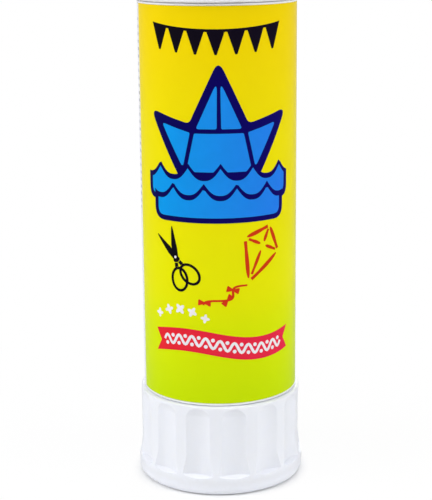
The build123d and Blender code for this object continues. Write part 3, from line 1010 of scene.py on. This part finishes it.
# %% Blossoms
BLOSSOM_SIZES = (0.68, 0.76, 0.84, 0.76, 0.68)
BLOSSOM_ARC_AT = Vector((-6.2, 30.6))
BLOSSOM_ARC_WIDTH = 8.4
BLOSSOM_ARC_DROP = 5.0
BLOSSOM_TURN = 20
BLOSSOM_STEPS = 40
PETALS, PETAL_MIDDLE, PETAL_SWELL = 4, 0.82, 0.28


def blossom(size):
    points = []
    for step in range(BLOSSOM_STEPS):
        angle = 2 * math.pi * step / BLOSSOM_STEPS
        reach = size * (PETAL_MIDDLE + PETAL_SWELL * math.cos(PETALS * angle))
        points.append(Vector((reach * math.cos(angle), reach * math.sin(angle))))
    return points


blossoms = []
for number, size in enumerate(BLOSSOM_SIZES):
    share = number / (len(BLOSSOM_SIZES) - 1) - 0.5
    along_arc = Vector((BLOSSOM_ARC_WIDTH * share, -BLOSSOM_ARC_DROP * share ** 2))
    blossoms.append(placed(blossom(size), BLOSSOM_ARC_AT + along_arc, BLOSSOM_TURN * number))
printed("print_blossoms", blossoms, ink_white)

# %% [markdown]
# A red ribbon closes the picture. It follows a gentle wave and ends in two swallow tails.
# A white rick-rack line with a dot in each of its bends fills it, like sewn trim.

# %% Ribbon
RIBBON_LEFT, RIBBON_RIGHT = -11.2, 13.0
RIBBON_LENGTH = RIBBON_RIGHT - RIBBON_LEFT
RIBBON_HEIGHT = 24.9
RIBBON_WIDTH = 3.7
RIBBON_NOTCH = 1.1
RIBBON_WAVE = 0.75
RIBBON_STEPS = 40
RICKRACK_PITCH, RICKRACK_MARGIN = 2.2, 1.9
RICKRACK_SWING, RICKRACK_WIDTH = 0.72, 0.46
RICKRACK_STEPS = 12
DOT_OFFSET, DOT_WIDTH = 0.62, 0.62


def ribbon_height(arc):
    share = (arc - RIBBON_LEFT) / RIBBON_LENGTH
    return RIBBON_HEIGHT + RIBBON_WAVE * math.sin(2 * math.pi * share)


def ribbon():
    arcs = [RIBBON_LEFT + RIBBON_LENGTH * step / RIBBON_STEPS for step in range(RIBBON_STEPS + 1)]
    lower = [Vector((arc, ribbon_height(arc) - RIBBON_WIDTH / 2)) for arc in arcs]
    upper = [Vector((arc, ribbon_height(arc) + RIBBON_WIDTH / 2)) for arc in arcs]
    right = Vector((RIBBON_RIGHT - RIBBON_NOTCH, ribbon_height(RIBBON_RIGHT)))
    left = Vector((RIBBON_LEFT + RIBBON_NOTCH, ribbon_height(RIBBON_LEFT)))
    return lower + [right] + upper[::-1] + [left]


def rickrack():
    first, last = RIBBON_LEFT + RICKRACK_MARGIN, RIBBON_RIGHT - RICKRACK_MARGIN
    count = round((last - first) / RICKRACK_PITCH)
    steps = count * RICKRACK_STEPS
    line = []
    for step in range(steps + 1):
        arc = first + (last - first) * step / steps
        swing = RICKRACK_SWING * math.sin(2 * math.pi * count * step / steps)
        line.append((arc, ribbon_height(arc) + swing))
    dots = []
    for number in range(count):
        for share, side in ((0.25, -1), (0.75, 1)):
            arc = first + (last - first) * (number + share) / count
            at = (arc, ribbon_height(arc) + side * DOT_OFFSET)
            dots.append(ring(at, DOT_WIDTH, DOT_WIDTH, steps=16))
    return [stroke(line, RICKRACK_WIDTH, tip_share=0.95)] + dots


printed("print_ribbon", [ribbon()], ink_red)
printed("print_rickrack", rickrack(), ink_white, level=2)

# %% [markdown]
# Where the plastic was injected, a small stub is left in the middle of a shallow dimple, so that it
# can't scratch the desk: one under the knob, and one on top of the cap. Each is a little broken
# column, wider at its root, turned from a short profile with a slightly uneven top.

# %% Gate stubs
STUB_RADIUS = 0.55
STUB_HEIGHT = 0.22
STUB_PROFILE = ((1.0, 0.0), (0.78, 0.35), (0.7, 0.8), (0.55, 1.0))
STUB_RAGGED = 0.12
STUB_SIDES = 24
KNOB_DIMPLE_FLOOR = 1.1
CAP_DIMPLE_FLOOR = cap_high.z - 0.3


def stub_row(mesh, share_out, share_up, base_height, direction):
    row = []
    for step in range(STUB_SIDES):
        angle = 2 * math.pi * step / STUB_SIDES
        ragged = 1 + STUB_RAGGED * math.sin(3 * angle + 1.0) * share_up
        reach = STUB_RADIUS * share_out
        rise = base_height + direction * STUB_HEIGHT * share_up * ragged
        at = Vector((reach * math.cos(angle), reach * math.sin(angle), rise))
        row.append(mesh.verts.new(at * MM))
    return row


def gate_stub(name, body, material, base_height, direction):
    mesh = bmesh.new()
    rows = [stub_row(mesh, *shares, base_height, direction) for shares in STUB_PROFILE]
    for lower, upper in zip(rows, rows[1:]):
        for step in range(STUB_SIDES):
            after = (step + 1) % STUB_SIDES
            mesh.faces.new((lower[step], lower[after], upper[after], upper[step]))
    mesh.faces.new(rows[0][::-1])
    mesh.faces.new(rows[-1])
    bmesh.ops.recalc_face_normals(mesh, faces=mesh.faces[:])
    stub = new_piece(name, mesh, material)
    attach(stub, body)
    print(f"{name}: {len(stub.data.polygons)} faces on {body}")


gate_stub("knob_gate_stub", "knob", knob_white, KNOB_DIMPLE_FLOOR, -1)
gate_stub("cap_gate_stub", "cap", cap_white, CAP_DIMPLE_FLOOR, 1)

# %% [markdown]
# The stick stands on a plain white table. Seen by the camera the table is mostly its own white, so
# that it meets the background without a line. Near the stick it keeps part of its real shading, for
# the soft shadow, and right at the foot nearly all of it, for the dark line where the two touch.
# Reflections see a dimmer white, so the film doesn't look washed out, and to the light it is an
# ordinary pale matt surface.

# %% Table
FLOOR_SIZE = 3000.0
TABLE_COLOUR = opaque(0.9, 0.9, 0.9)
FULL_WHITE = opaque(1.0, 1.0, 1.0)
SHADOW_START, SHADOW_END, SHADOW_SHARE = 15.0, 80.0, 0.93
CONTACT_START, CONTACT_END, CONTACT_SHARE = flange_radius - 0.7, flange_radius + 1.6, 0.05
TABLE_GLOW = 0.5


def view_rays(tree):
    path = add(tree, "LightPath").outputs
    seen = maths(tree, "MAXIMUM", path["Is Camera Ray"], path["Is Glossy Ray"])
    return path["Is Camera Ray"], maths(tree, "MAXIMUM", seen, path["Is Transmission Ray"])


def soft_step(tree, value, low, high, to_low):
    return remap(tree, value, low, high, to_low, interpolation_type="SMOOTHSTEP")


def table_material():
    material, tree, place = new_material("table_white")
    by_camera, seen = view_rays(tree)
    matt = add(tree, "BsdfDiffuse", {"Color": TABLE_COLOUR})
    strength = maths(tree, "MAXIMUM", by_camera, TABLE_GLOW)
    white = add(tree, "Emission", {"Color": FULL_WHITE, "Strength": strength})
    away = soft_step(tree, place["Radius"], SHADOW_START, SHADOW_END, SHADOW_SHARE)
    clear = soft_step(tree, place["Radius"], CONTACT_START, CONTACT_END, CONTACT_SHARE)
    share = maths(tree, "MULTIPLY", seen, maths(tree, "MULTIPLY", away, clear))
    mixed = add(tree, "MixShader", {0: share, 1: matt.outputs[0], 2: white.outputs[0]})
    add(tree, "OutputMaterial", {"Surface": mixed.outputs[0]})
    return material


half = FLOOR_SIZE / 2 * MM
corners = [(-half, -half, 0), (half, -half, 0), (half, half, 0), (-half, half, 0)]
floor_mesh = bpy.data.meshes.new("table")
floor_mesh.from_pydata(corners, [], [(0, 1, 2, 3)])
table = bpy.data.objects.new("table", floor_mesh)
scene.collection.objects.link(table)
floor_mesh.materials.append(table_material())
print("table:", FLOOR_SIZE, "mm square")

# %% [markdown]
# The world is the rest of the studio. What the camera, reflections and glass see of it is white,
# and what it gives as light is softer, so that the pale plastic doesn't burn out.
# Reflections see the full white only towards the backdrop, behind the stick, and a dimmer room
# elsewhere. So the glossy film stays deep in colour in front and brightens at its edges.

# %% World
WORLD_COLOUR = opaque(0.96, 0.98, 1.0)
WORLD_LIGHT = 0.32
ROOM_GLOW = 0.35
BACKDROP_START, BACKDROP_FULL = 0.68, 0.95

world = bpy.data.worlds.new("studio")
scene.world = world
world.use_nodes = True
sky = world.node_tree
sky.nodes.clear()
by_camera, seen = view_rays(sky)
direction = add(sky, "SeparateXYZ", {0: add(sky, "TexCoord").outputs["Generated"]}).outputs
backdrop = remap(sky, direction["Y"], BACKDROP_START, BACKDROP_FULL, ROOM_GLOW)
strength = maths(sky, "MAXIMUM", backdrop, by_camera)
soft = add(sky, "Background", {"Color": WORLD_COLOUR, "Strength": WORLD_LIGHT})
bright = add(sky, "Background", {"Color": FULL_WHITE, "Strength": strength})
mixed = add(sky, "MixShader", {0: seen, 1: soft.outputs[0], 2: bright.outputs[0]})
add(sky, "OutputWorld", {"Surface": mixed.outputs[0]})
print("world light:", WORLD_LIGHT)

# %% [markdown]
# Four large soft lamps do the modelling. The key stands on the left, and a weaker fill on the right
# keeps that side of the white knob from going grey. One hangs above the front and catches what
# faces up, such as the ledges under the flutes, and one behind lights the back of the label.
# A lamp of this size has no hard edge in its shadows, like a softbox beside a small product.

# %% Lamps
LAMPS_AIM = Vector((0, 0, 45))


def softbox(name, place, size, power):
    lamp = bpy.data.lights.new(name, "AREA")
    lamp.shape = "SQUARE"
    lamp.size = size * MM
    lamp.energy = power
    body = bpy.data.objects.new(name, lamp)
    body.location = Vector(place) * MM
    body.rotation_euler = (LAMPS_AIM - Vector(place)).to_track_quat("-Z", "Y").to_euler()
    scene.collection.objects.link(body)
    print(f"{name}: {power} W, {size} mm across")


softbox("key", (-660, -250, 400), size=460, power=3.0)
softbox("fill", (670, -250, 340), size=460, power=2.4)
softbox("top", (-20, -200, 620), size=520, power=1.6)
softbox("back", (120, 640, 420), size=460, power=1.9)

# %% [markdown]
# The camera looks slightly down on the stick from about 22 cm away, close enough for the stick to
# narrow towards its foot and for the label's lower edge to curve. Its place came from the edges of
# the label and knob in the photograph. The picture is 432 by 500 pixels, taller than wide, so the
# sensor is fitted across the width, and the lens is the focal length in pixels over that width.
# The turns are applied as on a tripod: roll first, then tilt, then the turn round the upright.

# %% Camera
PICTURE_WIDTH = 432
FOCAL_PIXELS = 1374.4
SENSOR = 36.0
CLIP_START = 1.0
CAMERA_PLACE = (4.72, -218.15, 90.31)
CAMERA_TURN, CAMERA_TILT, CAMERA_ROLL = 1.37, -13.63, -0.51

lens = bpy.data.cameras.new("camera")
lens.sensor_fit = "HORIZONTAL"
lens.sensor_width = SENSOR
lens.lens = FOCAL_PIXELS / PICTURE_WIDTH * SENSOR
lens.clip_start = CLIP_START * MM
camera = bpy.data.objects.new("camera", lens)
turn = Matrix.Rotation(math.radians(CAMERA_TURN), 4, "Z")
tilt = Matrix.Rotation(math.radians(90 + CAMERA_TILT), 4, "X")
tip = Matrix.Rotation(math.radians(CAMERA_ROLL), 4, "Z")
camera.matrix_world = Matrix.Translation(Vector(CAMERA_PLACE) * MM) @ turn @ tilt @ tip
scene.collection.objects.link(camera)
scene.camera = camera
scene.view_settings.view_transform = "Standard"
print(f"camera: {lens.lens:.1f} mm lens")
